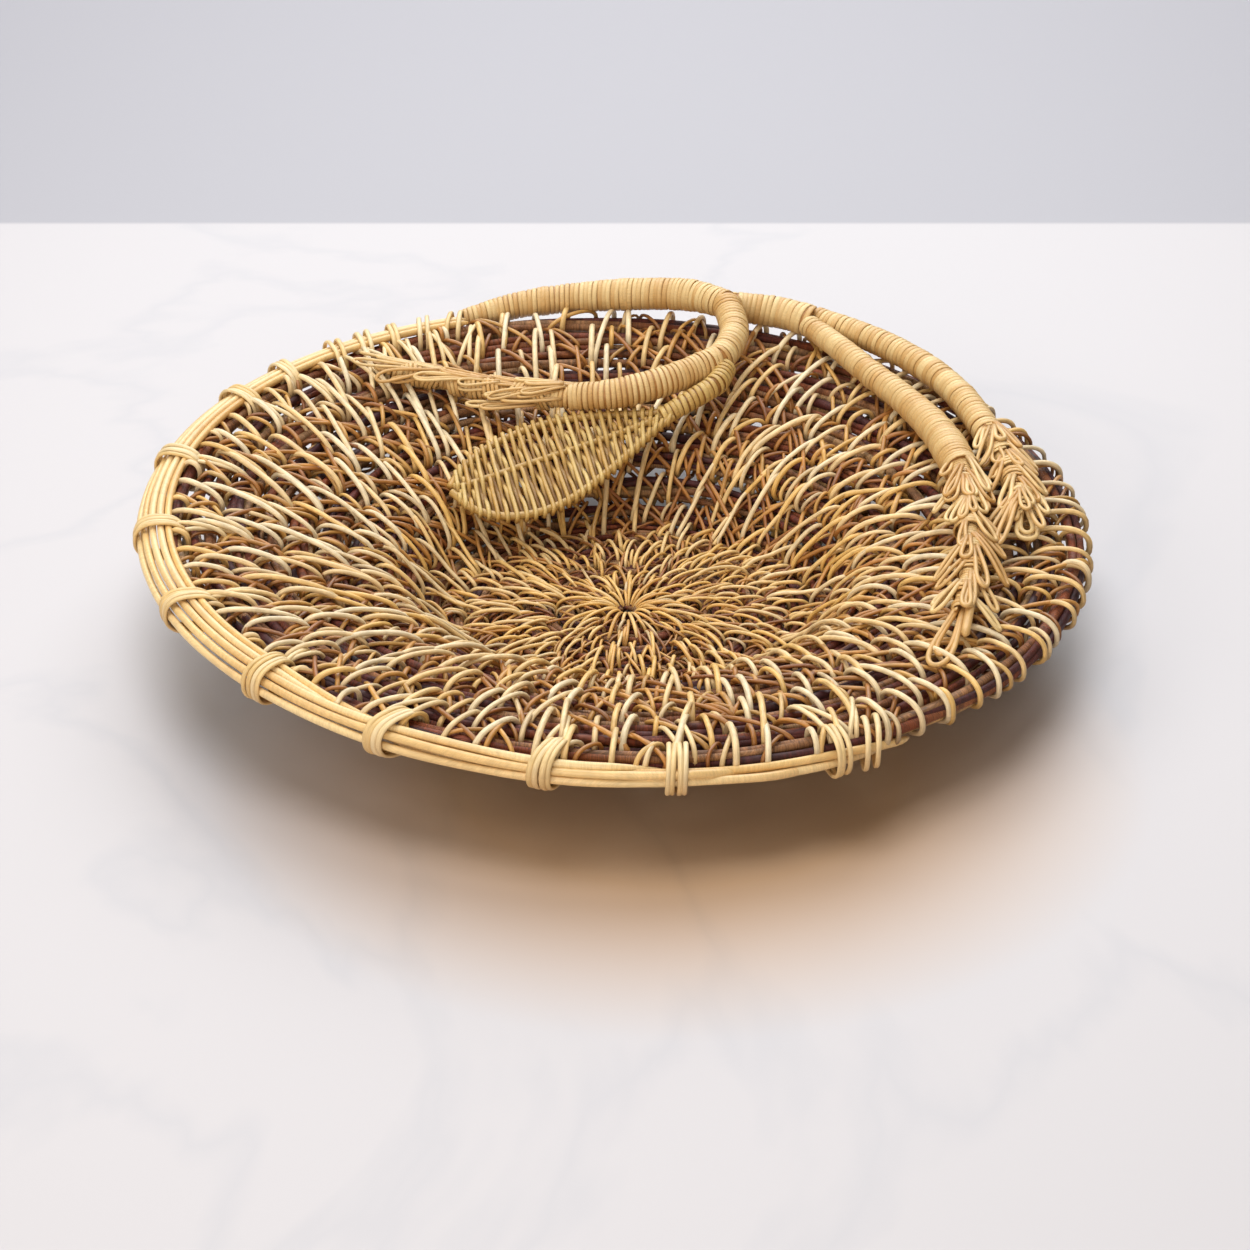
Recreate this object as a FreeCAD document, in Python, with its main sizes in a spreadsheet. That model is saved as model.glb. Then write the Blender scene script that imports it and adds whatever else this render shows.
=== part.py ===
import FreeCAD, Part
import math
import os

from FreeCAD import Placement, Rotation, Vector

# Winnowing basket: an open coiled dish with a wrapped handle, a woven leaf and three grain ears.
# Frame: millimetres, +Z up, origin on the ground under the eye of the dish, -Y is the front.
# Rings of bundled vine are held by closed stitches of split cane, tier by tier.

SIZES = {
    # foundation coils
    "eye_radius": 6.5,
    "bottom_pitch": 9.9,
    "wall_pitch": 9.5,
    "flange_pitch": 13.2,
    "eye_coil_radius": 1.6,
    "bottom_coil_radius": 2.4,
    "flange_coil_radius": 3.6,
    "edge_coil_radius": 4.2,
    "bottom_height": 4.3,
    "wall_rise": 24.7,
    "flange_rise": 18,
    "flange_bend": 1.45,
    # the rim is out of level and a little off centre
    "tilt_angle": 2.4,
    "tilt_direction": 147,
    "shift_x": -1.2,
    "shift_y": 4.3,
    # stitches and bindings
    "eye_strand_radius": 0.45,
    "bottom_strand_radius": 0.9,
    "flange_strand_radius": 1.1,
    "stitch_play": 0.1,
    "binding_radius": 0.9,
    "binding_reach": 8.6,
    "binding_inner": 2.4,
    "binding_outer": 6.6,
    # rim rods
    "rod_radius": 1.85,
    "rod_start": 112.5,
    # handle, stems, ears and leaf
    "handle_core_radius": 3.8,
    "handle_radius": 6.4,
    "curl_radius": 6.2,
    "branch_core_radius": 2.9,
    "branch_radius": 7.0,
    "front_stem_radius": 6.6,
    "back_stem_radius": 6.2,
    "ear_core_radius": 4.4,
    "ear_strand_radius": 1.1,
    "leaf_stem_radius": 4.4,
    "leaf_rod_radius": 1.8,
    "leaf_weave_thickness": 2.4,
    "path_clearance": 0.1,
}

BOTTOM_COILS = 8
WALL_COILS = 3
FLANGE_COILS = 7
COILS = BOTTOM_COILS + WALL_COILS + FLANGE_COILS
EDGE = COILS - 1

# Stitches in a tier: the count grows outward so that their spacing stays open.
INNER_TIERS = 3
MIDDLE_TIERS = 6
STITCHES_INNER = 26
STITCHES_MIDDLE = 52
STITCHES_OUTER = 78

# Rod centres in the rim's section, outward and upward from the edge coil, and their far ends.
RODS = (
    (8.5, 0.2, 305),
    (8.5, -3.6, 301),
    (12.1, -1.7, 294),
    (12.1, 2.1, 286),
    (8.5, 4.0, 277),
)

# Bindings of the rods to the edge: compass angle of each group, and turns in it.
BINDINGS = (
    (143, 3), (153, 3), (168, 3), (187, 4), (206, 3), (225, 4),
    (244, 4), (261, 4), (277, 4), (292, 3), (300, 3),
)
LASHINGS = ((114, 3), (118.5, 3), (123, 3), (128, 3), (133, 3))
TURN_PITCH = 0.56

# Centre lines, points in millimetres.
HANDLE = ((-77, 196, 55), (-51, 203, 60), (-22, 205, 63), (6, 202, 66), (30, 196, 68), (47, 183, 69))
CURL = (
    (47, 183, 69), (50, 160.5, 66.3), (47.5, 146, 64.8), (42.5, 134.5, 63.2), (35, 128, 62.3),
    (17, 116, 60.3), (-5, 109.5, 57.3), (-26, 111, 54.7),
)
# The curl's wrapping changes hands half way along the run that starts at this point of it.
CURL_JOIN = 3
LEFT_EAR = ((-26, 111, 54.7), (-47, 115.5, 54), (-70, 122, 54.5), (-90, 127, 56.8), (-105, 129, 59.2))
BRANCH = ((58, 188.5, 64.5), (73, 186.5, 63), (87, 179, 62))
FRONT_ROOT = ((58, 185.5, 64.5), (72, 183.5, 63), (85, 175, 62), (97, 156, 60.3))
FRONT_STEM = ((112, 129, 58), (126, 104, 56), (137, 72, 55), (143, 40, 55))
FRONT_EAR = ((143, 40, 55), (144, 10, 56), (143, -22, 56), (138, -58, 55), (130, -88, 53))
BACK_ROOT = ((58, 191.5, 64.5), (74, 189.5, 63), (90, 181.5, 62), (118, 158, 60.5))
BACK_STEM = ((139, 131, 59), (152, 103, 57.5), (161, 68, 56))
BACK_EAR = ((161, 68, 56), (166, 38, 56.5), (170, 8, 56.5), (178, -24, 54))
LEAF_STEM = ((45, 130.5, 60.5), (40.5, 117, 58.5), (29, 108.5, 54.5), (16, 102, 49))
LEAF_RIB = LEAF_STEM + ((-14, 89, 43), (-46, 73, 39), (-76, 60, 34))
LEAF_FAR = (
    (12, 107, 48), (-10, 106, 48), (-37, 99, 47), (-60, 86, 43), (-73, 73, 38), (-79, 61, 34),
)
LEAF_NEAR = (
    (12, 94, 46), (-8, 72, 37), (-28, 52, 31), (-48, 43, 29), (-66, 46, 30), (-78, 58, 33),
)
FORK = 0.25

LEFT_EAR_LOOPS = 12
FRONT_EAR_LOOPS = 14
BACK_EAR_LOOPS = 12
LOOP_LENGTH = 17
LOOP_WIDTH = 5.2
LOOP_SPREAD = 26
TIP_LENGTH = 30
LEAF_ROWS = 9

doc = FreeCAD.newDocument("WinnowingBasket")
sheet = doc.addObject("Spreadsheet::Sheet", "Sizes")


def fill_sheet():
    """Write every driving size as a plain number with its alias."""
    for row, (alias, value) in enumerate(SIZES.items(), start=1):
        sheet.set(f"A{row}", alias)
        sheet.set(f"B{row}", str(value))
        sheet.setAlias(f"B{row}", alias)
    doc.recompute()


def size(alias):
    """A size read back from the sheet."""
    return float(getattr(sheet, alias))


def feature(label, shape, placement=None):
    """A sub-part whose shape is made by code from the sheet's sizes."""
    piece = doc.addObject("Part::Feature", label)
    piece.Label = label
    piece.Shape = shape
    if placement is not None:
        piece.Placement = placement
    return piece


# ---------------------------------------------------------------- paths and tubes

def rounded_path(points):
    """One wire of straight runs joined by the largest tangent arcs that the runs allow."""
    knots = [Vector(*point) for point in points]
    edges = []
    start = knots[0]
    for before, corner, after in zip(knots, knots[1:], knots[2:]):
        inward = (before - corner).normalize()
        outward = (after - corner).normalize()
        cut = 0.45 * min((before - corner).Length, (after - corner).Length)
        first = corner + inward * cut
        last = corner + outward * cut
        half = inward.getAngle(outward) / 2
        middle_direction = (inward + outward).normalize()
        centre_distance = cut / math.cos(half)
        radius = cut * math.tan(half)
        middle = corner + middle_direction * (centre_distance - radius)
        edges.append(Part.LineSegment(start, first).toShape())
        edges.append(Part.Arc(first, middle, last).toShape())
        start = last
    edges.append(Part.LineSegment(start, knots[-1]).toShape())
    return Part.Wire(edges)


def tube(points, radius, bore=0):
    """A round bar, or a sleeve if it has a bore, along a path of straight runs and arcs."""
    path = rounded_path(points)
    start = Vector(*points[0])
    direction = Vector(*points[1]) - start
    outline = Part.Wire(Part.makeCircle(radius, start, direction))
    section = Part.Face(outline)
    if bore > 0:
        hole = Part.Wire(Part.makeCircle(bore, start, direction))
        section = section.cut(Part.Face(hole)).Faces[0]
    bar = path.makePipe(section)
    expected = math.pi * (radius ** 2 - bore ** 2) * path.Length
    if abs(bar.Volume - expected) > 0.01 * expected:
        raise RuntimeError(f"a tube has volume {bar.Volume:.0f}, not {expected:.0f}")
    return bar.Solids[0]


def parted(bar, start, end):
    """The two parts of a bar cut straight across half way along one run of its path."""
    middle = Vector(*partway(start, end, 0.5))
    turn = Rotation(Vector(0, 0, 1), Vector(*end) - Vector(*start))
    beyond = Part.makeBox(500, 500, 500, Vector(-250, -250, 0))
    beyond.Placement = Placement(middle, turn)
    return bar.cut(beyond).Solids[0], bar.common(beyond).Solids[0]


def partway(start, end, share):
    """The point a share of the way from one point to another."""
    return tuple(one + (two - one) * share for one, two in zip(start, end))


# ---------------------------------------------------------------- foundation coils

def coil_formulas(index):
    """Expressions for a ring's radius, its own thickness, height and share of the rim's tilt."""
    heel = f"(Sizes.eye_radius + {BOTTOM_COILS - 1} * Sizes.bottom_pitch)"
    flange_start = f"({heel} + {WALL_COILS + 1} * Sizes.wall_pitch)"
    edge = f"({flange_start} + {FLANGE_COILS - 1} * Sizes.flange_pitch)"
    if index < BOTTOM_COILS:
        radius = f"Sizes.eye_radius + {index} * Sizes.bottom_pitch"
        thick = "Sizes.eye_coil_radius" if index == 0 else "Sizes.bottom_coil_radius"
        return radius, thick, "Sizes.bottom_height", "0"
    if index < BOTTOM_COILS + WALL_COILS:
        step = index - BOTTOM_COILS + 1
        radius = f"{heel} + {step} * Sizes.wall_pitch"
        turn = 180 * step / (WALL_COILS + 1)
        height = f"Sizes.bottom_height + Sizes.wall_rise * (1 - cos({turn} deg)) / 2"
        thick = "(Sizes.bottom_coil_radius + Sizes.flange_coil_radius) / 2"
    else:
        step = index - BOTTOM_COILS - WALL_COILS
        left = 1 - step / (FLANGE_COILS - 1)
        radius = f"{flange_start} + {step} * Sizes.flange_pitch"
        height = (
            "Sizes.bottom_height + Sizes.wall_rise"
            f" + Sizes.flange_rise * (1 - {left} ^ Sizes.flange_bend)"
        )
        thick = "Sizes.edge_coil_radius" if index == EDGE else "Sizes.flange_coil_radius"
    share = f"(({radius} - {heel}) / ({edge} - {heel}))"
    return radius, thick, height, share


def build_coils():
    """Concentric rings of bundled vine, level at the bottom and leaning with the rim further out."""
    direction = math.radians(size("tilt_direction"))
    axis = Vector(math.sin(direction), -math.cos(direction), 0)
    coils = []
    for index in range(COILS):
        radius, thick, height, share = coil_formulas(index)
        label = f"coil_{index + 1:02d}"
        coil = doc.addObject("Part::Torus", label)
        coil.Label = label
        coil.setExpression("Radius1", radius)
        coil.setExpression("Radius2", thick)
        coil.Placement = Placement(Vector(), Rotation(axis, 1))
        coil.setExpression("Placement.Base.x", f"Sizes.shift_x * {share}")
        coil.setExpression("Placement.Base.y", f"Sizes.shift_y * {share}")
        coil.setExpression("Placement.Base.z", height)
        coil.setExpression("Placement.Rotation.Angle", f"Sizes.tilt_angle * {share}")
        coils.append(coil)
    doc.recompute()
    return coils


def point_on(coil, angle):
    """The centre of a coil's section at a compass angle in degrees."""
    turned = math.radians(angle)
    radius = coil.Radius1.Value
    return coil.Placement.multVec(Vector(radius * math.cos(turned), radius * math.sin(turned), 0))


# ---------------------------------------------------------------- stitches and bindings

def stadium(run, reach, strand):
    """A closed ring of round cane: two straight runs along X joined by two half turns."""
    lower = Part.makeCylinder(strand, run, Vector(-run / 2, 0, -reach), Vector(1, 0, 0))
    upper = Part.makeCylinder(strand, run, Vector(-run / 2, 0, reach), Vector(1, 0, 0))
    turn = Part.makeTorus(reach, strand, Vector(), Vector(0, 1, 0), -180, 180, 180)
    right = turn.copy()
    left = turn.copy()
    if turn.CenterOfMass.x < 0:
        right.rotate(Vector(), Vector(0, 0, 1), 180)
    else:
        left.rotate(Vector(), Vector(0, 0, 1), 180)
    right.translate(Vector(run / 2, 0, 0))
    left.translate(Vector(-run / 2, 0, 0))
    ring = lower.fuse([upper, right, left]).removeSplitter()
    return ring.Solids[0]


def radial_frame(inner, outer):
    """A placement halfway between two points: X outward through them, Y along the rim."""
    outward = outer - inner
    outward.normalize()
    across = Vector(0, 0, 1).cross(outward)
    across.normalize()
    upward = outward.cross(across)
    return Placement((inner + outer) / 2, Rotation(outward, across, upward, "XYZ"))


def stitch_plan(tier):
    """How many stitches a tier has, their strand's radius and the first one's place."""
    turn = 0.5 * (tier % 2)
    if tier < INNER_TIERS:
        count = STITCHES_INNER
    elif tier < INNER_TIERS + MIDDLE_TIERS:
        count = STITCHES_MIDDLE
    else:
        count = STITCHES_OUTER
        turn += 0.25
    if tier == 0:
        strand = size("eye_strand_radius")
    elif tier <= BOTTOM_COILS + WALL_COILS:
        strand = size("bottom_strand_radius")
    else:
        strand = size("flange_strand_radius")
    return count, strand, turn


def build_stitches(coils):
    """One node for each tier: closed loops of cane, each round a coil and the next one out."""
    for tier, (inner, outer) in enumerate(zip(coils, coils[1:])):
        count, strand, turn = stitch_plan(tier)
        thick = max(inner.Radius2.Value, outer.Radius2.Value)
        run = (point_on(outer, 0) - point_on(inner, 0)).Length
        loop = stadium(run, thick + strand + size("stitch_play"), strand)
        loops = []
        for number in range(count):
            angle = 360 * (number + turn) / count
            placed = loop.copy()
            placed.Placement = radial_frame(point_on(inner, angle), point_on(outer, angle))
            loops.append(placed)
        feature(f"stitches_{tier + 1:02d}", Part.makeCompound(loops))


def build_rods(edge):
    """Pale cane rods laid along the left and front of the rim, ending one after another."""
    for number, (outward, upward, end) in enumerate(RODS, start=1):
        label = f"rim_rod_{number}"
        rod = doc.addObject("Part::Torus", label)
        rod.Label = label
        rod.setExpression("Radius1", f"{edge.Name}.Radius1 + {outward} mm")
        rod.setExpression("Radius2", "Sizes.rod_radius")
        rod.setExpression("Angle3", f"{end} - Sizes.rod_start")
        spin = Rotation(Vector(0, 0, 1), size("rod_start"))
        rod.Placement = edge.Placement.multiply(Placement(Vector(0, 0, upward), spin))


def binding_turns(edge, groups):
    """Closed turns of cane round the rods and the edge coil, between two stitches of the rim."""
    count, _, turn = stitch_plan(COILS - 2)
    pitch = 360 / count
    inner = size("binding_inner")
    outer = size("binding_outer")
    loop = stadium(outer - inner, size("binding_reach"), size("binding_radius"))
    turns = []
    for angle, number in groups:
        gap = (round(angle / pitch - turn - 0.5) + turn + 0.5) * pitch
        for index in range(number):
            place = gap + (index - (number - 1) / 2) * TURN_PITCH
            spin = Rotation(Vector(0, 0, 1), place)
            reach = edge.Radius1.Value + (inner + outer) / 2
            local = Placement(spin.multVec(Vector(reach, 0, 0)), spin)
            placed = loop.copy()
            placed.Placement = edge.Placement.multiply(local)
            turns.append(placed)
    return Part.makeCompound(turns)


# ---------------------------------------------------------------- handle, stems and ears

def ear_loops(points, count, tip_turn):
    """Hairpin loops in pairs down a stem, bights outward and towards the tip, and a tip loop."""
    path = rounded_path(points)
    strand = size("ear_strand_radius")
    core = size("ear_core_radius")
    stations = path.discretize(Number=count + 1)
    loops = []
    for index, (root, following) in enumerate(zip(stations, stations[1:])):
        ahead = (following - root).normalize()
        side = ahead.cross(Vector(0, 0, 1)).normalize() * (1 if index % 2 else -1)
        spread = math.radians(LOOP_SPREAD)
        along = (ahead * math.cos(spread) + side * math.sin(spread)).normalize()
        across = Vector(0, 0, 1).cross(along).normalize()
        lift = Vector(0, 0, core + strand + size("path_clearance"))
        loops.append(hairpin(root + lift, along, across, LOOP_LENGTH, strand))
    ahead = (stations[-1] - stations[-2]).normalize()
    across = Vector(0, 0, 1).cross(ahead).normalize()
    root = stations[-1] + ahead * (2 * strand)
    loops.append(hairpin(root, ahead, across * tip_turn, TIP_LENGTH, strand))
    return Part.makeCompound(loops)


def hairpin(root, along, across, length, strand):
    """One strand of cane out, round a half turn and back again."""
    half = LOOP_WIDTH / 2
    left = root + across * half
    right = root - across * half
    left_end = left + along * length
    right_end = right + along * length
    bight = root + along * (length + half)
    wire = Part.Wire([
        Part.LineSegment(left, left_end).toShape(),
        Part.Arc(left_end, bight, right_end).toShape(),
        Part.LineSegment(right_end, right).toShape(),
    ])
    section = Part.Face(Part.Wire(Part.makeCircle(strand, left, along)))
    return wire.makePipe(section).Solids[0]


def build_handle():
    """A bundle of rods runs from the rim's rods through the handle and the curl to the left ear."""
    core = size("handle_core_radius")
    bore = core + size("path_clearance")
    feature("handle_core", tube(HANDLE + CURL[1:] + LEFT_EAR[1:], core))
    feature("handle_wrap", tube(HANDLE, size("handle_radius"), bore))
    ear_wrap = tube(LEFT_EAR, size("ear_core_radius"), bore)
    curl = tube(CURL, size("curl_radius"), bore)
    upper, lower = parted(curl, CURL[CURL_JOIN], CURL[CURL_JOIN + 1])
    feature("curl_wrap", upper)
    feature("curl_end_wrap", Part.makeCompound([lower, ear_wrap]))
    feature("left_ear_loops", ear_loops(LEFT_EAR, LEFT_EAR_LOOPS, 1))


def build_branch():
    """Two stems leave the back of the curl in one wrapping, fork, and each ends in an ear."""
    core = size("branch_core_radius")
    bore = core + size("path_clearance")
    ear = size("ear_core_radius")
    sleeve = size("branch_radius")
    feature("branch_wrap", tube(BRANCH, sleeve, sleeve - size("ear_strand_radius")))
    stems = (
        ("front", FRONT_ROOT, FRONT_STEM, FRONT_EAR, FRONT_EAR_LOOPS, size("front_stem_radius")),
        ("back", BACK_ROOT, BACK_STEM, BACK_EAR, BACK_EAR_LOOPS, size("back_stem_radius")),
    )
    for name, root, stem, tip, count, radius in stems:
        feature(f"{name}_stem_core", tube(root + stem + tip[1:], core))
        start = partway(root[-2], root[-1], FORK)
        wraps = [tube((start, root[-1]) + stem, radius, bore), tube(tip, ear, bore)]
        feature(f"{name}_stem_wrap", Part.makeCompound(wraps))
        feature(f"{name}_ear_loops", ear_loops(tip, count, 1))


# ---------------------------------------------------------------- leaf

def woven_sheet(rows, thickness):
    """A closed sheet over rows of points: flat facets above and below, upright walls round it."""
    down = Vector(0, 0, -thickness)
    faces = []
    for row, following in zip(rows, rows[1:]):
        for one, two, three, four in zip(row, row[1:], following[1:], following):
            for corners in ((one, two, three), (one, three, four)):
                faces.append(flat_face(corners))
                faces.append(flat_face([corner + down for corner in corners]))
    rim = [row[0] for row in rows] + rows[-1][1:]
    rim += [row[-1] for row in reversed(rows[:-1])] + rows[0][-2:0:-1]
    for one, two in zip(rim, rim[1:] + rim[:1]):
        faces.append(flat_face((one, two, two + down, one + down)))
    solid = Part.makeSolid(Part.makeShell(faces))
    solid.fix(1e-6, 1e-6, 1e-6)
    return solid


def flat_face(corners):
    """A flat face through its corners."""
    corners = list(corners)
    return Part.Face(Part.makePolygon(corners + corners[:1]))


def build_leaf():
    """A pointed leaf: a rib that is also its stem, two bent edge rods and cane woven across."""
    rod = size("leaf_rod_radius")
    bore = rod + size("path_clearance")
    feature("leaf_rib", tube(LEAF_RIB, rod))
    feature("leaf_stem_wrap", tube(LEAF_STEM, size("leaf_stem_radius"), bore))
    feature("leaf_far_rod", tube(LEAF_FAR, rod))
    feature("leaf_near_rod", tube(LEAF_NEAR, rod))
    thickness = size("leaf_weave_thickness")
    below = Vector(0, 0, rod + size("path_clearance"))
    lines = (LEAF_FAR, LEAF_RIB[3:], LEAF_NEAR)
    stations = [rounded_path(points).discretize(Number=LEAF_ROWS) for points in lines]
    rows = [[point - below for point in row] for row in zip(*stations)]
    feature("leaf_weave", woven_sheet(rows[:-1], thickness))


# ---------------------------------------------------------------- build, check and write

def check_document():
    """Stop if any object failed to recompute or has no valid shape."""
    for item in doc.Objects:
        if {"Invalid", "Error"} & set(item.State):
            raise RuntimeError(f"{item.Label} failed: {item.State}")
        if item is sheet:
            continue
        if item.Shape.isNull() or not item.Shape.isValid():
            raise RuntimeError(f"{item.Label} has no valid shape")


def write_parts():
    """Write each sub-part to its own STEP file, named by its label."""
    os.makedirs("parts", exist_ok=True)
    pieces = [item for item in doc.Objects if item is not sheet]
    for piece in pieces:
        piece.Shape.exportStep(f"parts/{piece.Label}.step")
    print(f"{len(pieces)} sub-parts written")


fill_sheet()
rings = build_coils()
build_stitches(rings)
build_rods(rings[EDGE])
feature("rim_bindings", binding_turns(rings[EDGE], BINDINGS))
feature("rim_lashing", binding_turns(rings[EDGE], LASHINGS))
build_handle()
build_branch()
build_leaf()
doc.recompute()
check_document()
write_parts()
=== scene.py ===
import math

import bpy
import numpy as np
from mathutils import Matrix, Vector


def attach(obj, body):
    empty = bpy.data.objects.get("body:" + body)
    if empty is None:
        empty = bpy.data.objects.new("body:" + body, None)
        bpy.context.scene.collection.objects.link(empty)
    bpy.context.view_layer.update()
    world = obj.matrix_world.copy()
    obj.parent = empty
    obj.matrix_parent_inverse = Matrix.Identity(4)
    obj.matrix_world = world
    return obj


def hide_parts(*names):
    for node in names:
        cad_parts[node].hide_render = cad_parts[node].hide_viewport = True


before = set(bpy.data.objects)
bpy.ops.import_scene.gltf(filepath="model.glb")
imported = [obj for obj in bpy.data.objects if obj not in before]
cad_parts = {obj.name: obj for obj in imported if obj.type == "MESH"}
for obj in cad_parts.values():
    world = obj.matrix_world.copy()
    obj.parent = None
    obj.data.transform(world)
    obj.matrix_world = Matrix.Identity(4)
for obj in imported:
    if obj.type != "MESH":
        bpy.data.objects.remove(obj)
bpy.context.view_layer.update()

# Winnowing basket, in metres in the row frame. The dish is measured on its CAD coils, and the whole
# is built strand by strand on that.

MM = 0.001
TURN = 2 * math.pi
SEED = 41


# -------- numbers and lines

def random_numbers(*key):
    """A random source of its own for each piece, the same on every run."""
    return np.random.default_rng([SEED, *key])


def unit(vectors):
    """The same directions at length one."""
    return vectors / np.maximum(np.linalg.norm(vectors, axis=-1, keepdims=True), 1e-12)


def squared(values, power):
    """Values of -1 to 1 raised to a power with their sign kept."""
    return np.sign(values) * np.abs(values) ** power


def wave(source, angle, lowest, highest):
    """A smooth random curve round a ring, about one unit high."""
    orders = np.arange(lowest, highest + 1)
    phases = source.uniform(0, TURN, len(orders))
    strengths = source.uniform(0.4, 1, len(orders)) / np.sqrt(len(orders))
    return (strengths * np.cos(orders * angle[..., None] + phases)).sum(-1)


def smooth_between(a, b, c, d, share):
    """The smooth curve from b to c, with a before and d after, at a share of the way."""
    bend = 2 * a - 5 * b + 4 * c - d
    twist = 3 * (b - c) + d - a
    return b + 0.5 * share * (c - a + share * (bend + share * twist))


def smooth_line(points, spacing):
    """Evenly spaced points on a smooth curve through the given ones."""
    knots = np.array(points, float)
    padded = np.vstack([2 * knots[0] - knots[1], knots, 2 * knots[-1] - knots[-2]])
    share = np.linspace(0, 1, 24, endpoint=False)[:, None]
    spans = [smooth_between(*four, share) for four in zip(padded, padded[1:], padded[2:], padded[3:])]
    curve = np.vstack(spans + [knots[-1:]])
    travelled = distance_along(curve)
    count = max(3, int(travelled[-1] / spacing) + 1)
    return at_distance(curve, travelled, np.linspace(0, travelled[-1], count))


def distance_along(line):
    """How far each point of a line is from its start."""
    steps = np.linalg.norm(np.diff(line, axis=0), axis=1)
    return np.concatenate([[0], np.cumsum(steps)])


def at_distance(values, travelled, wanted):
    """Values given along a line, read at other distances."""
    return np.stack([np.interp(wanted, travelled, column) for column in values.T], axis=-1)


def carried_frame(line):
    """Ahead, side and up directions that follow a line without twisting round it."""
    ahead = unit(np.gradient(line, axis=0))
    up = np.array((0, 0, 1), float)
    ups = []
    for direction in ahead:
        up = unit(up - direction * np.dot(up, direction))
        ups.append(up)
    ups = np.array(ups)
    return ahead, np.cross(ahead, ups), ups


# -------- meshes of strands

class Strands:
    """Collects swept strands and makes one mesh of them, with what the materials read."""

    def __init__(self):
        self.points, self.corners, self.sizes = [], [], []
        self.grain, self.tint, self.age_and_shade = [], [], []
        self.total = 0

    def add(self, lines, across, width, thickness, tint, age_and_shade, sides=8, closed=False, flat=1.0):
        """Sweep an oval section along one line or many of equal length; a low flat squares it."""
        lines = lines if lines.ndim == 3 else lines[None]
        count, stations = lines.shape[:2]
        if closed:
            ahead = unit(np.roll(lines, -1, 1) - np.roll(lines, 1, 1))
        else:
            ahead = unit(np.gradient(lines, axis=1))
        across = np.broadcast_to(across, lines.shape)
        wide = unit(across - ahead * (across * ahead).sum(-1, keepdims=True))
        thick = np.cross(ahead, wide)
        shape = (count, stations)
        width = np.broadcast_to(width, shape)[..., None, None] / 2
        thickness = np.broadcast_to(thickness, shape)[..., None, None] / 2
        angle = np.linspace(0, TURN, sides, endpoint=False)
        cosines = squared(np.cos(angle), flat)[None, None, :, None]
        sines = squared(np.sin(angle), flat)[None, None, :, None]
        section = wide[:, :, None] * cosines * width + thick[:, :, None] * sines * thickness
        points = lines[:, :, None] + section
        steps = np.linalg.norm(np.diff(lines, axis=1), axis=-1)
        travelled = np.concatenate([np.zeros((count, 1)), np.cumsum(steps, 1)], 1)
        each_strand = np.ndim(tint) == 1 and len(tint) == count
        tint = np.broadcast_to(np.reshape(tint, (-1, 1)) if each_strand else tint, shape)
        offset = tint[..., None] * 900
        grain = np.stack(np.broadcast_arrays(
            travelled[..., None] / MM + offset * 3,
            width[..., 0] * cosines[..., 0] / MM + offset,
            thickness[..., 0] * sines[..., 0] / MM - offset,
        ), -1)
        self.points.append(points.reshape(-1, 3))
        self.grain.append(grain.reshape(-1, 3))
        self.tint.append(np.repeat(tint.reshape(-1), sides))
        self.age_and_shade.append(np.repeat(np.broadcast_to(age_and_shade, shape).reshape(-1), sides))
        self.skin(count, stations, sides, closed)

    def skin(self, count, stations, sides, closed):
        """Quads round every strand, and a cap on each open end."""
        index = np.arange(count * stations * sides).reshape(count, stations, sides) + self.total
        following = np.roll(index, -1, 1) if closed else index[:, 1:]
        start = index if closed else index[:, :-1]
        quads = np.stack([start, np.roll(start, -1, 2), np.roll(following, -1, 2), following], -1)
        self.corners.append(quads.reshape(-1))
        self.sizes.append(np.full(quads.size // 4, 4))
        if not closed:
            caps = np.concatenate([index[:, 0, ::-1], index[:, -1]])
            self.corners.append(caps.reshape(-1))
            self.sizes.append(np.full(len(caps), sides))
        self.total += count * stations * sides

    def build(self, name, material, slot, *nodes):
        """One object on the root body that stands for the named CAD nodes."""
        mesh = bpy.data.meshes.new(name)
        corners = np.concatenate(self.corners)
        sizes = np.concatenate(self.sizes)
        mesh.vertices.add(self.total)
        mesh.vertices.foreach_set("co", np.concatenate(self.points).astype(np.float32).ravel())
        mesh.loops.add(len(corners))
        mesh.loops.foreach_set("vertex_index", corners.astype(np.int32))
        mesh.polygons.add(len(sizes))
        starts = np.concatenate([[0], np.cumsum(sizes)[:-1]])
        mesh.polygons.foreach_set("loop_start", starts.astype(np.int32))
        mesh.update(calc_edges=True)
        mesh.validate()
        mesh.shade_smooth()
        store(mesh, "grain", "FLOAT_VECTOR", "vector", self.grain)
        store(mesh, "tint", "FLOAT", "value", self.tint)
        store(mesh, "age_and_shade", "FLOAT", "value", self.age_and_shade)
        mesh.materials.append(material)
        piece = bpy.data.objects.new(name, mesh)
        bpy.context.scene.collection.objects.link(piece)
        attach(piece, "root")
        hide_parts(*nodes)


def store(mesh, name, kind, field, values):
    """Keep a value for each vertex under a name, from one array for each group of strands."""
    attribute = mesh.attributes.new(name, kind, "POINT")
    attribute.data.foreach_set(field, np.concatenate(values).astype(np.float32).ravel())


# -------- materials

def colour(red, green, blue):
    """A display colour of 0 to 255 as the linear colour that shaders take."""
    linear = [((c / 255 + 0.055) / 1.055) ** 2.4 if c > 10 else c / 255 / 12.92
              for c in (red, green, blue)]
    return (*linear, 1)


def grey(level):
    """The same linear level of all three colours."""
    return level, level, level, 1


def link(tree, source, output, target, name):
    """Join two sockets by name."""
    tree.links.new(source.outputs[output], target.inputs[name])


def new_node(tree, kind, values=()):
    """A shader node with some of its inputs set."""
    node = tree.nodes.new("ShaderNode" + kind)
    for name, value in values:
        node.inputs[name].default_value = value
    return node


def attribute_node(tree, name):
    """A node that reads one of the values kept on the strands."""
    node = new_node(tree, "Attribute")
    node.attribute_name = name
    return node


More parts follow.
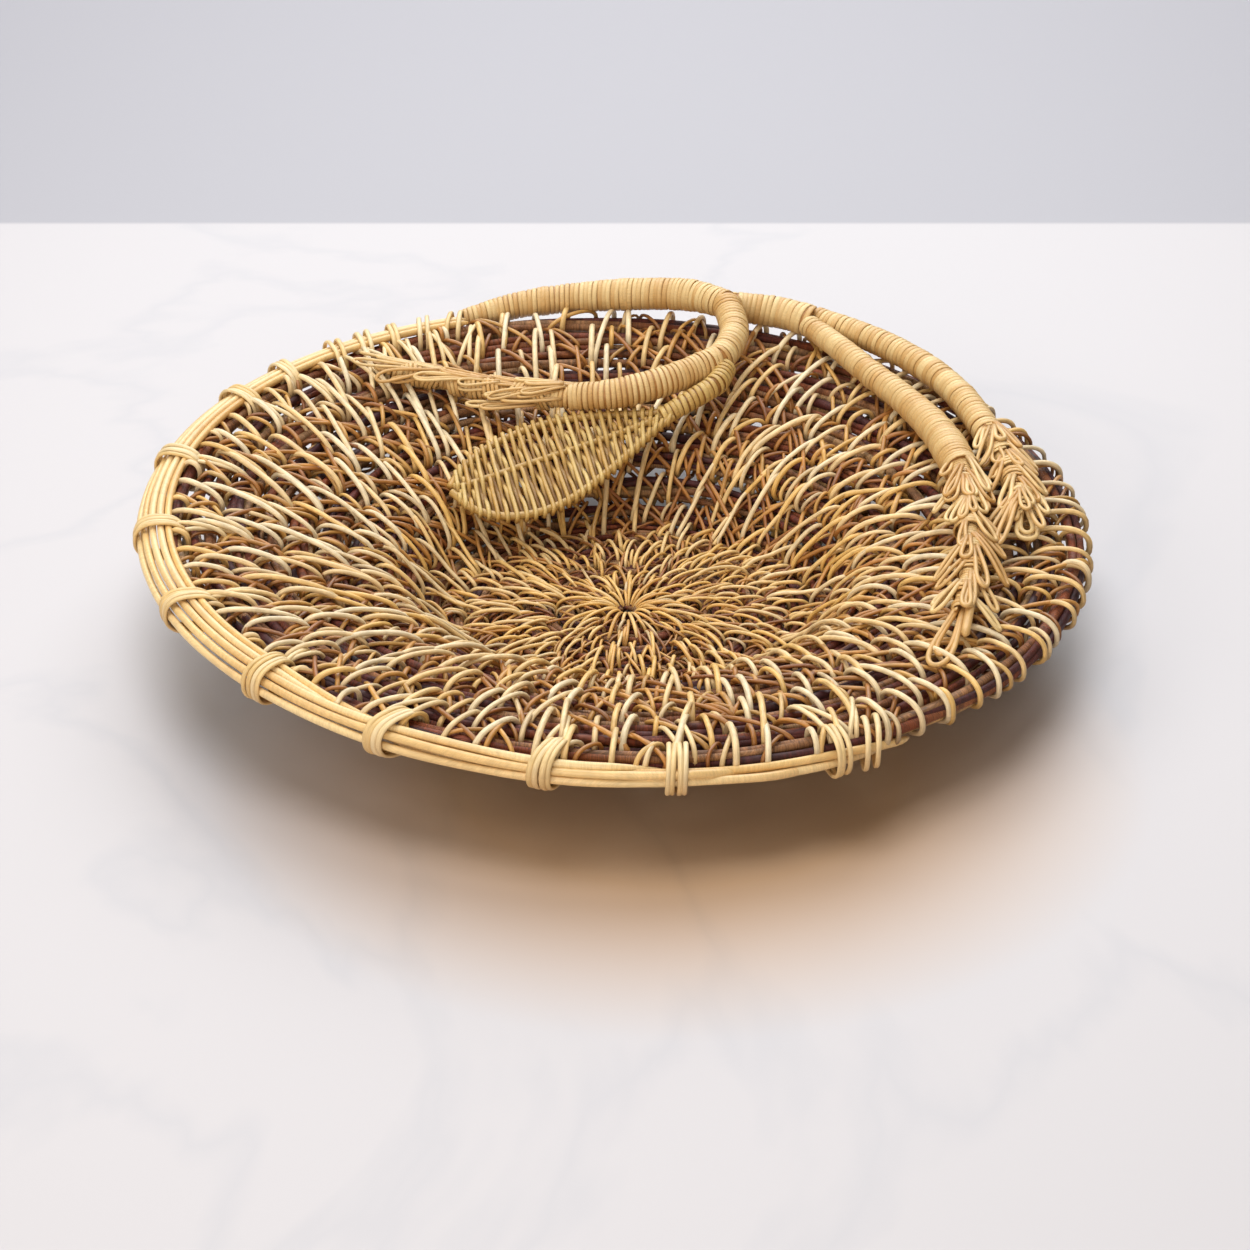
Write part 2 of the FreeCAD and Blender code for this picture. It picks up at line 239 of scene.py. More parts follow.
def noise_node(tree, vector, scale, stretch, detail):
    """Noise on the strand's own grain, stretched along it."""
    mapping = new_node(tree, "Mapping", (("Scale", stretch),))
    link(tree, vector, "Vector", mapping, "Vector")
    node = new_node(tree, "TexNoise", (("Scale", scale), ("Detail", detail), ("Roughness", 0.55)))
    link(tree, mapping, "Vector", node, "Vector")
    return node


def ramp_node(tree, stops):
    """A colour ramp with the given (place, colour) stops."""
    node = new_node(tree, "ValToRGB")
    elements = node.color_ramp.elements
    while len(elements) < len(stops):
        elements.new(0.5)
    for element, (place, shade) in zip(elements, stops):
        element.position = place
        element.color = shade
    return node


def mix_node(tree, kind, factor):
    """A colour mix whose factor is a number, or is linked later."""
    node = new_node(tree, "Mix")
    node.data_type = "RGBA"
    node.blend_type = kind
    node.inputs["Factor"].default_value = factor
    return node


def multiplied(tree, mix, ramp):
    """The colour of a mix times that of a ramp."""
    node = mix_node(tree, "MULTIPLY", 1)
    link(tree, mix, "Result", node, "A")
    link(tree, ramp, "Color", node, "B")
    return node


FIBRE_STRETCH = (0.10, 1, 1)
BLOTCH_SCALE = 0.16
RELIEF_DEPTH = 0.3 * MM


def plant_material(name, hues, age_and_shade_hue, streak, blotch, roughness, bump, fibre):
    """Cane or vine: a hue for each strand, fibres along it, blotches, and darker stretches: old cane,
    and painted shade.
    """
    material = bpy.data.materials.new(name)
    material.use_nodes = True
    tree = material.node_tree
    shader = tree.nodes["Principled BSDF"]
    grain = attribute_node(tree, "grain")
    hue = ramp_node(tree, [(place, colour(*shade)) for place, shade in hues])
    link(tree, attribute_node(tree, "tint"), "Fac", hue, "Fac")
    # The darker hue is mixed in for old cane, and as painted shade under and below other cane.
    age_and_shade_mix = mix_node(tree, "MIX", 0)
    link(tree, attribute_node(tree, "age_and_shade"), "Fac", age_and_shade_mix, "Factor")
    link(tree, hue, "Color", age_and_shade_mix, "A")
    age_and_shade_mix.inputs["B"].default_value = colour(*age_and_shade_hue)
    fibres = noise_node(tree, grain, fibre, FIBRE_STRETCH, 3)
    streaks = ramp_node(tree, ((0.30, grey(1 - streak)), (0.70, grey(1 + streak * 0.4))))
    link(tree, fibres, "Fac", streaks, "Fac")
    streaked = multiplied(tree, age_and_shade_mix, streaks)
    patches = noise_node(tree, grain, BLOTCH_SCALE, (1, 1, 1), 2)
    blotches = ramp_node(tree, ((0.36, grey(1 - blotch)), (0.62, grey(1))))
    link(tree, patches, "Fac", blotches, "Fac")
    blotched = multiplied(tree, streaked, blotches)
    link(tree, blotched, "Result", shader, "Base Color")
    shader.inputs["Roughness"].default_value = roughness
    relief = new_node(tree, "Bump", (("Strength", bump), ("Distance", RELIEF_DEPTH)))
    link(tree, fibres, "Fac", relief, "Height")
    link(tree, relief, "Normal", shader, "Normal")
    return material


# Each cane: light, dark, and the darker hue for old cane and painted shade, streaks, blotches,
# roughness, relief, fibres.
CANES = {
    "rim_rod": ((244, 218, 164), (234, 192, 120), (206, 146, 70), 0.12, 0.14, 0.38, 0.18, 1.4),
    "binding": ((240, 218, 172), (228, 194, 130), (186, 130, 66), 0.16, 0.12, 0.42, 0.25, 2.0),
    "wrap": ((238, 210, 152), (210, 166, 102), (170, 116, 58), 0.16, 0.12, 0.44, 0.3, 2.0),
    "ear": ((236, 206, 146), (208, 160, 92), (168, 112, 54), 0.18, 0.12, 0.44, 0.3, 2.0),
    "leaf": ((222, 192, 122), (196, 154, 80), (140, 92, 40), 0.2, 0.16, 0.42, 0.3, 2.0),
}


def make_materials():
    """Every plant material of the basket."""
    split = ((0, (246, 228, 190)), (0.40, (240, 194, 110)), (0.72, (206, 144, 70)), (1, (152, 92, 44)))
    bark = ((0, (74, 28, 34)), (0.16, (112, 44, 34)), (0.32, (160, 80, 36)), (0.5, (170, 116, 72)),
            (0.75, (194, 148, 102)), (1, (216, 172, 112)))
    materials = {
        "stitch": plant_material("stitch_cane", split, (104, 60, 30), 0.26, 0.22, 0.44, 0.35, 2.2),
        "vine": plant_material("vine_bark", bark, (38, 18, 14), 0.6, 0.55, 0.6, 1.0, 2.2),
    }
    for name, (light, dark, *looks) in CANES.items():
        materials[name] = plant_material(f"{name}_cane", ((0, light), (1, dark)), *looks)
    return materials


# -------- the dish, measured on its coils

def angle_runs(angles, share=0.0, least=0.0):
    """Starts and widths of runs of angles with gaps wider than a share of the widest, or than least."""
    ordered = np.sort(np.mod(angles, TURN))
    gap = np.diff(np.concatenate([ordered, ordered[:1] + TURN]))
    cuts = np.flatnonzero(gap > max(share * gap.max(), least))
    starts = np.roll(ordered[(cuts + 1) % len(ordered)], 1)
    return starts, np.mod(ordered[cuts] - starts, TURN)


def vertices(node):
    """A CAD node's vertices as an array."""
    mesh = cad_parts[node].data
    values = np.zeros(len(mesh.vertices) * 3, np.float32)
    mesh.vertices.foreach_get("co", values)
    return values.reshape(-1, 3).astype(float)


def measure_ring(node):
    """A ring's centre x, y, z, its slopes along X and Y, its radius and half its thickness."""
    points = vertices(node)
    centre = (points.min(0) + points.max(0)) / 2
    offset = points - centre
    normal = np.linalg.svd(offset, full_matrices=False)[2][2]
    slope = -normal[:2] / normal[2]
    reach = np.linalg.norm(offset - np.outer(offset @ normal, normal), axis=1)
    return [*centre, *slope, (reach.max() + reach.min()) / 2, (reach.max() - reach.min()) / 2]


COILS = sorted(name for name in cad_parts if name.startswith("coil_"))
TIERS = sorted(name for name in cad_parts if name.startswith("stitches_"))
RINGS = np.array([measure_ring(name) for name in COILS])
# The columns of the radius and of half the thickness.
RADIUS = 5
THICK = 6
EDGE = len(COILS) - 1


def ring_values(place):
    """All ring values at fractional ring numbers, on a smooth curve through the rings."""
    extended = np.vstack([2 * RINGS[0] - RINGS[1], RINGS, 2 * RINGS[-1] - RINGS[-2]])
    limited = np.clip(place, 0, EDGE)
    base = np.minimum(limited.astype(int), EDGE - 1)
    share = (limited - base)[..., None]
    value = smooth_between(*(extended[base + step] for step in range(4)), share)
    beyond = (place - limited)[..., None]
    step = np.where(beyond > 0, RINGS[-1] - RINGS[-2], RINGS[1] - RINGS[0])
    value = value + beyond * step
    value[..., THICK] = np.clip(value[..., THICK], RINGS[0, THICK], RINGS[-1, THICK])
    return value


def dish_point(place, angle):
    """The point of the dish's middle surface at a ring number and an angle."""
    ring = ring_values(place)
    x = ring[..., RADIUS] * np.cos(angle)
    y = ring[..., RADIUS] * np.sin(angle)
    z = ring[..., 2] + ring[..., 3] * x + ring[..., 4] * y
    return np.stack([ring[..., 0] + x, ring[..., 1] + y, z], -1)


def dish_frame(place, angle):
    """The point with its outward, round-the-rim and upward directions."""
    small = 0.02
    point = dish_point(place, angle)
    outward = unit(dish_point(place + small, angle) - dish_point(place - small, angle))
    along = unit(dish_point(place, angle + small) - dish_point(place, angle - small))
    return point, outward, along, np.cross(outward, along)


PROFILE_PLACES = np.linspace(-1, EDGE + 1, 400)
PROFILE_STEPS = np.diff(ring_values(PROFILE_PLACES)[:, [RADIUS, 2]], axis=0)
PROFILE_LENGTH = np.concatenate([[0], np.cumsum(np.linalg.norm(PROFILE_STEPS, axis=1))])


def profile_length(place):
    """Distance along the dish's profile at a ring number."""
    return np.interp(place, PROFILE_PLACES, PROFILE_LENGTH)


# -------- vine foundation

STEMS = 6
STATION_STEP = 4.6 * MM


def build_coil(index, material):
    """One round of the foundation: vine stems that lie side by side and wander."""
    source = random_numbers(1, index)
    radius, thick = RINGS[index, RADIUS], RINGS[index, THICK]
    stations = int(np.clip(TURN * radius / STATION_STEP, 26, 270))
    angle = np.linspace(0, TURN, stations, endpoint=False)
    point, outward, _, upward = dish_frame(np.full(stations, float(index)), angle)
    if index == EDGE:
        spread = 0.62 * thick
    else:
        spread = 0.30 * (profile_length(index + 1.0) - profile_length(float(index)))
    strands = Strands()
    for stem in range(STEMS):
        around = TURN * stem / STEMS + 0.7 * wave(source, angle, 1, 9)
        drift = 0.26 * spread * wave(source, angle, 2, 14)
        line = point + outward * (spread * np.cos(around) + drift)[:, None]
        line = line + upward * (0.5 * thick * np.sin(around))[:, None]
        girth = thick * source.uniform(0.78, 1.24) * (1 + 0.12 * wave(source, angle, 9, 40))
        tint = (stem + source.uniform(0, 1)) / STEMS
        hues = np.clip(tint + 0.3 * wave(source, angle, 1, 7), 0, 1)
        strands.add(line, upward, girth, girth * 0.92, hues, 0.0, 7, True)
    number = COILS[index][-2:]
    strands.build(f"vine_{number}", material, "vine", COILS[index])


# -------- stitches

def stitch_angles(node, tier):
    """Where the tier's CAD loops stand round the dish, from their vertices' angles."""
    offset = vertices(node)[:, :2] - RINGS[tier, :2]
    reach = np.linalg.norm(offset, axis=1)
    outer = offset[reach > np.percentile(reach, 70)]
    starts, widths = angle_runs(np.arctan2(outer[:, 1], outer[:, 0]), share=0.35)
    return np.mod(starts + widths / 2, TURN)


# Ring numbers where the innermost arcs start, and where a stitch over the edge may end.
EYE = -0.24
OVER_EDGE = EDGE + 0.5
UNDER_RODS = EDGE + 0.12
ROD_MIDDLE = math.radians(174)
ROD_HALF_SPAN = math.radians(62)
SMALLEST_REACH = 6 * MM


def loop_reach(inner, outer):
    """The dish radius half way along a stitch, which its slant is measured at."""
    return np.maximum(ring_values((inner + outer) / 2)[..., RADIUS], SMALLEST_REACH)


def stitch_loops(strands, inner, outer, angle, lean, rise, girth, tint, age_and_shade, source, stations=24,
                 sides=7, arch=0.8):
    """Closed loops of cane that dive between the rounds at inner and outer and arch over the top."""
    count = len(angle)
    # Where the rods spread over the edge coil, a stitch goes in under them.
    covered = np.abs(np.mod(angle, TURN) - ROD_MIDDLE) < ROD_HALF_SPAN
    outer = np.minimum(outer, np.where(covered, UNDER_RODS, OVER_EDGE))
    phase = np.linspace(0, TURN, stations, endpoint=False)[None]
    cosine = np.cos(phase)
    sine = np.sin(phase)
    place = (inner + outer)[:, None] / 2
    place = place + (outer - inner)[:, None] / 2 * squared(cosine, 0.82)
    ring = ring_values(place)
    run = profile_length((inner + outer) / 2)[:, None] - profile_length(place)
    wander = source.normal(0, 0.5 * MM, (count, 1)) * np.sin(phase + source.uniform(0, 6, (count, 1)))
    turn = angle[:, None] + (np.tan(lean)[:, None] * run + wander) / loop_reach(inner, outer)[:, None]
    point, _, along, upward = dish_frame(place, turn)
    over = ring[..., THICK] + girth[:, None] * 0.55 + rise[:, None]
    under = ring[..., THICK] + girth[:, None] * 0.55
    height = np.where(sine > 0, over * squared(sine, arch), under * squared(sine, 0.8))
    line = point + upward * height[..., None]
    # Cane is painted darker below the rounds, a painted shade, and is thinner near the eye.
    low = np.clip(0.5 - height / (2 * over), 0, 1)
    age_and_low_shade = np.clip(age_and_shade[:, None] + 0.9 * low ** 1.5, 0, 1)
    slim = np.clip(0.52 + ring[..., RADIUS] / (22 * MM), 0.52, 1)
    width = girth[:, None] * slim
    strands.add(line, along, width, width * 0.86, tint, age_and_low_shade, sides, True)


def slant_round(angle):
    """How far the arcs lean from the radius: little, except on the left of the dish."""
    on_left = np.clip(np.cos(angle - math.radians(165)), 0, 1) ** 2
    return np.radians(9 + 12 * on_left)


BOTTOM_REACH = 80 * MM
SPARSE_TIER = 2


class Tier:
    """What the stitches of one tier share: places round the dish, sizes, and a random source."""

    def __init__(self, number):
        self.number = number
        self.source = random_numbers(2, number)
        self.strands = Strands()
        self.angle = stitch_angles(TIERS[number], number)
        self.loops = len(self.angle)
        self.half = self.loops // 2
        self.pitch = TURN / self.loops
        radius = ring_values(np.array(number + 0.5))[RADIUS]
        # Shares of the way outward: one for size and colour, one for how far the stitches lean.
        self.outwardness = np.clip((radius - 40 * MM) / (90 * MM), 0, 1)
        self.leaning = np.clip((radius - 12 * MM) / (70 * MM), 0, 1)
        self.girth = (1.5 + self.outwardness) * MM
        self.rise = (2.0 + 0.6 * self.outwardness) * MM
        self.bottom = radius < BOTTOM_REACH
        # The last tier, and the level bottom but for one tier, carry an arc at every place.
        self.whole = (self.bottom and number != SPARSE_TIER) or number == len(TIERS) - 1


def add_arcs(tier):
    """Long pale arcs. Gives every second one's ends, place, slant and thickness for the returns."""
    source = tier.source
    base = tier.angle if tier.whole else tier.angle[0::2][:tier.half]
    arcs = len(base)
    every_second = np.arange(arcs) % 2
    spans = source.choice([2.0, 3.0], arcs, p=[0.7, 0.3])
    if tier.bottom:
        spans = source.choice([1.2, 1.7, 2.4], arcs, p=[0.35, 0.45, 0.2])
    elif tier.whole:
        spans = np.where(every_second, source.choice([1.0, 2.0], arcs), spans)
    if tier.number:
        scatter = source.normal(0, 0.1 if tier.bottom else 0.04, arcs)
        outer = np.minimum(tier.number + 1.5 + scatter, OVER_EDGE)
        inner = np.maximum(outer - spans, 0.5)
    else:
        near = source.uniform(0.7, 1.2, arcs)
        far = source.uniform(1.7, 2.4, arcs)
        outer = np.where(every_second, near, far)
        inner = np.full(arcs, EYE)
    lean = (slant_round(base) + np.radians(source.normal(0, 5, arcs))) * tier.leaning
    lean = lean + np.radians(source.normal(0, 9 if tier.bottom and tier.number else 3, arcs))
    place = base + source.normal(0, 0.10, arcs) * tier.pitch * (1 if tier.number else 0.3)
    thick = tier.girth * source.uniform(0.9, 1.14, arcs)
    lift = tier.rise * source.uniform(0.6, 1.35, arcs) + (outer - inner - 2) * MM
    lift = np.maximum(lift, 0.4 * MM)
    lightest = 0.28 * (1 - tier.outwardness)
    darkest = 0.58 - 0.2 * tier.outwardness
    tint = lightest + (darkest - lightest) * source.uniform(0, 1, arcs) ** 1.5
    shown = source.uniform(0, 1, arcs) < (0.74 if tier.bottom and tier.number else 1)
    stitch_loops(tier.strands, inner[shown], outer[shown], place[shown], lean[shown], lift[shown],
                 thick[shown], tint[shown], np.zeros(shown.sum()), source, 28, 8,
                 0.8 if tier.number else 1.1)
    step = 2 if tier.whole else 1
    return [values[::step][:tier.half] for values in (inner, outer, place, lean, thick)]


def add_returns(tier, inner, outer, place, lean, thick):
    """Brown returns: they start where an arc dives and lean the other way."""
    source = tier.source
    half = tier.half
    inner_turn = np.tan(lean) * (profile_length((inner + outer) / 2) - profile_length(inner))
    meeting = place + inner_turn / loop_reach(inner, outer)
    back_inner = np.maximum(inner + 0.1, 0.45)
    back_outer = back_inner + source.choice([1.0, 2.0], half, p=[0.45, 0.55])
    back_outer = np.minimum(back_outer, EDGE + 0.45)
    back_lean = -np.radians(source.normal(40, 8, half)) * tier.leaning
    back_run = profile_length((back_inner + back_outer) / 2) - profile_length(back_inner)
    back_shift = (1.4 * tier.girth - np.tan(back_lean) * back_run) / loop_reach(back_inner, back_outer)
    stitch_loops(tier.strands, back_inner, back_outer, meeting + back_shift, back_lean,
                 tier.rise * source.uniform(0.05, 0.6, half), thick * 0.84,
                 source.uniform(0.5, 1, half), source.uniform(0, 0.35, half), source)


def add_short_stitches(tier):
    """Short stitches at the places between the arcs."""
    source = tier.source
    half = tier.half
    second = tier.angle[1::2][:half]
    outer = np.minimum(tier.number + 1.5 + source.normal(0, 0.05, half), OVER_EDGE)
    inner = np.maximum(outer - source.choice([1.0, 2.0], half, p=[0.55, 0.45]), 0.5)
    stitch_loops(tier.strands, inner, outer, second + source.normal(0, 0.14, half) * tier.pitch,
                 np.radians(source.normal(14, 15, half)) * max(tier.leaning, 0.3),
                 tier.rise * source.uniform(0.1, 0.8, half),
                 tier.girth * source.uniform(0.78, 1.0, half), source.uniform(0.1, 0.9, half),
                 source.uniform(0, 0.3, half), source)


def add_low_ties(tier):
    """Low ties that hug one round each and lean either way."""
    source = tier.source
    places = tier.angle[source.uniform(0, 1, tier.loops) < 0.62]
    ties = len(places)
    outer = np.minimum(tier.number + 1.5 + source.normal(0, 0.05, ties), EDGE + 0.4)
    stitch_loops(tier.strands, outer - 1, outer, places + source.normal(0.5, 0.25, ties) * tier.pitch,
                 np.radians(source.choice([-1, 1], ties) * source.normal(40, 9, ties)),
                 tier.rise * source.uniform(0.0, 0.15, ties),
                 tier.girth * source.uniform(0.62, 0.85, ties), source.uniform(0.45, 1, ties),
                 source.uniform(0, 0.5, ties), source, 20, 6)


def build_tier(number, material):
    """The stitches between two rounds, in four layers."""
    tier = Tier(number)
    add_returns(tier, *add_arcs(tier))
    add_short_stitches(tier)
    add_low_ties(tier)
    name = TIERS[number]
    tier.strands.build(f"cane_{name[-2:]}", material, "stitch_cane", name)


# -------- rim rods and bindings

RIM_NORMAL = unit(np.array([-RINGS[EDGE, 3], -RINGS[EDGE, 4], 1.0]))


def rim_places(node):
    """A CAD node's vertices round the edge coil: angle, distance outside it and height over it."""
    offset = vertices(node) - RINGS[EDGE, :3]
    height = offset @ RIM_NORMAL
    level = offset - np.outer(height, RIM_NORMAL)
    angle = np.arctan2(level[:, 1], level[:, 0])
    return angle, np.linalg.norm(level, axis=1) - RINGS[EDGE, RADIUS], height


def on_rim(angle, outside, height):
    """Points at angles round the edge coil, offset outward and upward."""
    point, _, _, _ = dish_frame(np.full(angle.shape, float(EDGE)), angle)
    level = point - RINGS[EDGE, :3]
    return point + unit(level) * outside[..., None] + RIM_NORMAL * height[..., None]


# From the handle to the left front the rods lie in a flat layer, this far outside the edge coil and
# over it in millimetres; then they draw together. Runs and fades are in radians.
ROD_LAYER = ((1.0, 5.8), (4.3, 5.8), (12.9, -0.7), (10.6, 2.6), (7.6, 4.7))
LAYER_RUN = 1.9
LAYER_FADE = 0.6
ROD_WANDER = 0.95 * MM
# The far ends are tucked in under the edge coil.
TUCK_RUN = 0.16
TUCK_OUT = 1.0 * MM
TUCK_UP = -6.5 * MM
END_TAPER = 0.03


def build_rod(node, material):
    """One long cane rod, a little uneven, lying along the rim."""
    number = int(node[-1])
    source = random_numbers(3, number)
    angles, outside, height = rim_places(node)
    (start,), (width,) = angle_runs(angles, share=0.99)
    end = start + width
    angle = np.linspace(start, end, 260)
    out = outside.mean() + ROD_WANDER * wave(source, angle, 3, 15)
    up = height.mean() + ROD_WANDER * wave(source, angle, 3, 15)
    layer_out, layer_up = ROD_LAYER[number - 1]
    layer = np.clip(1 - (angle - start - LAYER_RUN) / LAYER_FADE, 0, 1)
    layer = layer * layer * (3 - 2 * layer)
    out = out + (layer_out * MM - out) * layer
    up = up + (layer_up * MM - up) * layer
    tuck = np.clip(1 - (end - angle) / TUCK_RUN, 0, 1) ** 1.5
    out = out + (TUCK_OUT - out) * tuck
    up = up + (TUCK_UP - up) * tuck
    line = on_rim(angle, out, up)
    girth = (np.ptp(outside) - 0.25 * MM) * (1 + 0.05 * wave(source, angle, 8, 40))
    ends = np.clip(np.minimum(angle - start, end - angle) / END_TAPER, 0, 1) ** 0.5
    girth = girth * (0.35 + 0.65 * ends)
    tint = np.clip(source.uniform(0.1, 0.9) + 0.15 * wave(source, angle, 1, 6), 0, 1)
    age_and_shade = np.clip(0.12 + 0.25 * wave(source, angle, 2, 18), 0, 0.5)
    strands = Strands()
    strands.add(line, (0, 0, 1), girth, girth * 0.92, tint, age_and_shade, 10)
    strands.build(f"rod_{number}", material, "rim_rod", node)


BINDING_WIDTH = 2.35 * MM
BINDING_THICKNESS = 1.5 * MM
BINDING_PITCH = 2.15 * MM
WIDE_GROUP = 7.2 * MM


def build_bindings(node, name, key, material, loose=False):
    """Turns of flat cane drawn tight round the rods and the edge coil, and the ends they run in to."""
    source = random_numbers(4, key)
    angles, outside, height = rim_places(node)
    groups = list(zip(*angle_runs(angles, least=math.radians(1.2))))
    middle = (outside.min() + outside.max()) / 2
    radius = RINGS[EDGE, RADIUS]
    phase = np.linspace(0, TURN, 36, endpoint=False)
    cosine = np.cos(phase)
    sine = np.sin(phase)
    strands = Strands()
    for number, (start, width) in enumerate(groups):
        angle = start + width / 2
        turns = 4 if width * radius > WIDE_GROUP or source.uniform() < 0.4 else 3
        pitch = BINDING_PITCH
        slant = math.tan(math.radians(source.normal(10, 6)))
        if loose or number == len(groups) - 1:
            turns = 2
            pitch = source.uniform(3.0, 5.5) * MM
            slant = math.tan(math.radians(source.normal(24, 8)))
        for turn in range(turns):
            half_width = np.ptp(outside) / 2 * source.uniform(0.88, 0.95)
            half_height = np.ptp(height) / 2 * source.uniform(0.84, 0.92)
            out = middle + half_width * squared(cosine, 0.8)
            up = height.mean() + half_height * squared(sine, 0.85)
            step = (turn - (turns - 1) / 2) * pitch + source.normal(0, 0.18 * MM)
            sideways = step - (slant + source.normal(0, 0.04)) * (out - middle)
            line = on_rim(angle + sideways / radius, out, up)
            along = np.stack([-np.sin(angle), np.cos(angle), 0.0])
            # Painted shade: each turn is darker on its underside.
            age_and_shade = np.clip(0.3 - sine * 0.4, 0, 0.55) * source.uniform(0.5, 1)
            strands.add(line, along, BINDING_WIDTH * source.uniform(0.9, 1.1), BINDING_THICKNESS,
                        source.uniform(0, 1), age_and_shade, 8, True)
        # Two strands lead from the turns in to the weave.
        count = 2
        inner = EDGE - source.uniform(1.4, 2.5, count)
        stitch_loops(strands, inner, np.full(count, EDGE + 0.2),
                     angle + source.normal(0, 2.4 * MM, count) / radius,
                     np.radians(source.uniform(-25, 42, count)), source.uniform(1.2, 3.0, count) * MM,
                     np.full(count, 2.2 * MM), source.uniform(0, 0.5, count), np.zeros(count), source)
    strands.build(name, material, "binding_cane", node)


# -------- handle, curl, stems

# Centre lines in millimetres, through the CAD's points. Only the front stem's end and the front ear lie
# up to 6 mm further right, the back ear is shorter, and the branch and the leaf's edge rods start a
# point earlier. The curl's two windings join half way between its fourth and fifth points.
HANDLE = ((-77, 196, 55), (-51, 203, 60), (-22, 205, 63), (6, 202, 66), (30, 196, 68), (47, 183, 69))
CURL = ((47, 183, 69), (50, 160.5, 66.3), (47.5, 146, 64.8), (42.5, 134.5, 63.2), (35, 128, 62.3),
        (17, 116, 60.3), (-5, 109.5, 57.3), (-26, 111, 54.7))
CURL_JOIN = (38.75, 131.25, 62.75)
LEFT_EAR = ((-26, 111, 54.7), (-47, 115.5, 54), (-70, 122, 54.5), (-90, 127, 56.8), (-105, 129, 59.2))
BRANCH = ((50, 188.5, 65.5), (58, 188.5, 64.5), (73, 186.5, 63), (87, 179, 62))
FRONT_STEM = ((85, 175, 62), (97, 156, 60.3), (112, 129, 58), (126.5, 104, 56), (139, 72, 55),
              (146, 35, 55))
FRONT_EAR = ((146, 35, 55), (145.5, 10, 56), (144, -22, 56), (141, -58, 55), (135.5, -86, 53))
BACK_STEM = ((90, 181.5, 62), (118, 158, 60.5), (139, 131, 59), (152, 103, 57.5), (161, 68, 56))
BACK_EAR = ((161, 68, 56), (165, 40, 56.5), (168, 18, 56.5), (169, -3, 55))
LEAF_STEM = ((45, 130.5, 60.5), (40.5, 117, 58.5), (29, 108.5, 54.5), (16, 102, 49))
LEAF_RIB = ((16, 102, 49), (-14, 89, 43), (-46, 73, 39), (-76, 60, 34))
LEAF_FAR = ((23, 108, 51.5), (12, 107, 48.5), (-10, 106, 48), (-37, 99, 47), (-60, 86, 43),
            (-73, 73, 38), (-79, 61, 34))
LEAF_NEAR = ((21, 100, 50), (12, 94, 46), (-8, 72, 37), (-28, 52, 31), (-48, 43, 29), (-66, 46, 30),
             (-78, 58, 33))


def millimetres(points, step=1.0 * MM):
    """A smooth line in metres through points given in millimetres."""
    return smooth_line(np.array(points) * MM, step)


class Path:
    """A smooth centre line that other cane is laid on by distance, sideways and upward."""

    def __init__(self, points):
        self.line = millimetres(points)
        self.travelled = distance_along(self.line)
        self.length = self.travelled[-1]
        self.axes = carried_frame(self.line)

    def at(self, distance, sideways, upward):
        """Points beside the line; beyond its ends the line runs straight on."""
        point = at_distance(self.line, self.travelled, distance)
        ahead, side, up = self.directions(distance)
        over = distance - np.clip(distance, 0, self.length)
        return point + ahead * over[..., None] + side * sideways[..., None] + up * upward[..., None]

    def directions(self, distance):
        """Ahead, side and up directions at distances along the line."""
        return [unit(at_distance(axis, self.travelled, distance)) for axis in self.axes]


WRAP_THICKNESS = 0.8 * MM
STATIONS_A_TURN = 16


def wind(strands, path, start, end, radius, source, pitch, fill=1.02, core=True, slant=0.0):
    """Wind flat cane round a path from start to end; radius is (share of the way, radius) pairs."""
    turns = max(2, int((end - start) / pitch))
    steps = source.normal(1, 0.12, turns).clip(0.7, 1.35)
    marks = start + np.concatenate([[0], np.cumsum(steps)]) / steps.sum() * (end - start)
    count = turns * STATIONS_A_TURN + 1
    rounds = np.linspace(0, turns, count)
    angle = rounds * TURN + source.uniform(0, TURN)
    shares, radii = zip(*radius)

    def by_turn(values):
        return np.interp(rounds, np.arange(turns + 1), values)

    def radius_at(distance):
        return np.interp((distance - start) / (end - start), shares, radii)

    wobble = 0.2 * MM * np.sin(angle + wave(source, rounds * 0.4, 1, 6) * 2)
    distance = by_turn(marks) + wobble
    reach = radius_at(distance)
    distance = distance + slant * reach * np.sin(angle + 0.6)
    reach = reach + by_turn(source.normal(0, 0.14 * MM, turns + 1))
    line = path.at(distance, reach * np.cos(angle), reach * np.sin(angle))
    ahead, _, _ = path.directions(distance)
    tint = by_turn(source.uniform(0, 1, turns + 1))
    # Painted shade: the wraps are darker on the underside of the stem.
    age_and_shade = np.clip(0.05 - 0.4 * np.sin(angle) + source.normal(0, 0.02, count), 0, 0.45)
    width = pitch * fill * by_turn(source.normal(1, 0.07, turns + 1))
    strands.add(line, ahead, width, WRAP_THICKNESS, tint, age_and_shade, flat=0.7)
    if core:
        inside = np.linspace(start, end, max(4, int((end - start) / (3 * MM))))
        girth = 2 * radius_at(inside) - WRAP_THICKNESS * 0.55
        none = np.zeros_like(inside)
        middle = path.at(inside, none, none)
        _, _, up = path.directions(inside)
        strands.add(middle, up, girth, girth, 0.8, 0.85, 16)


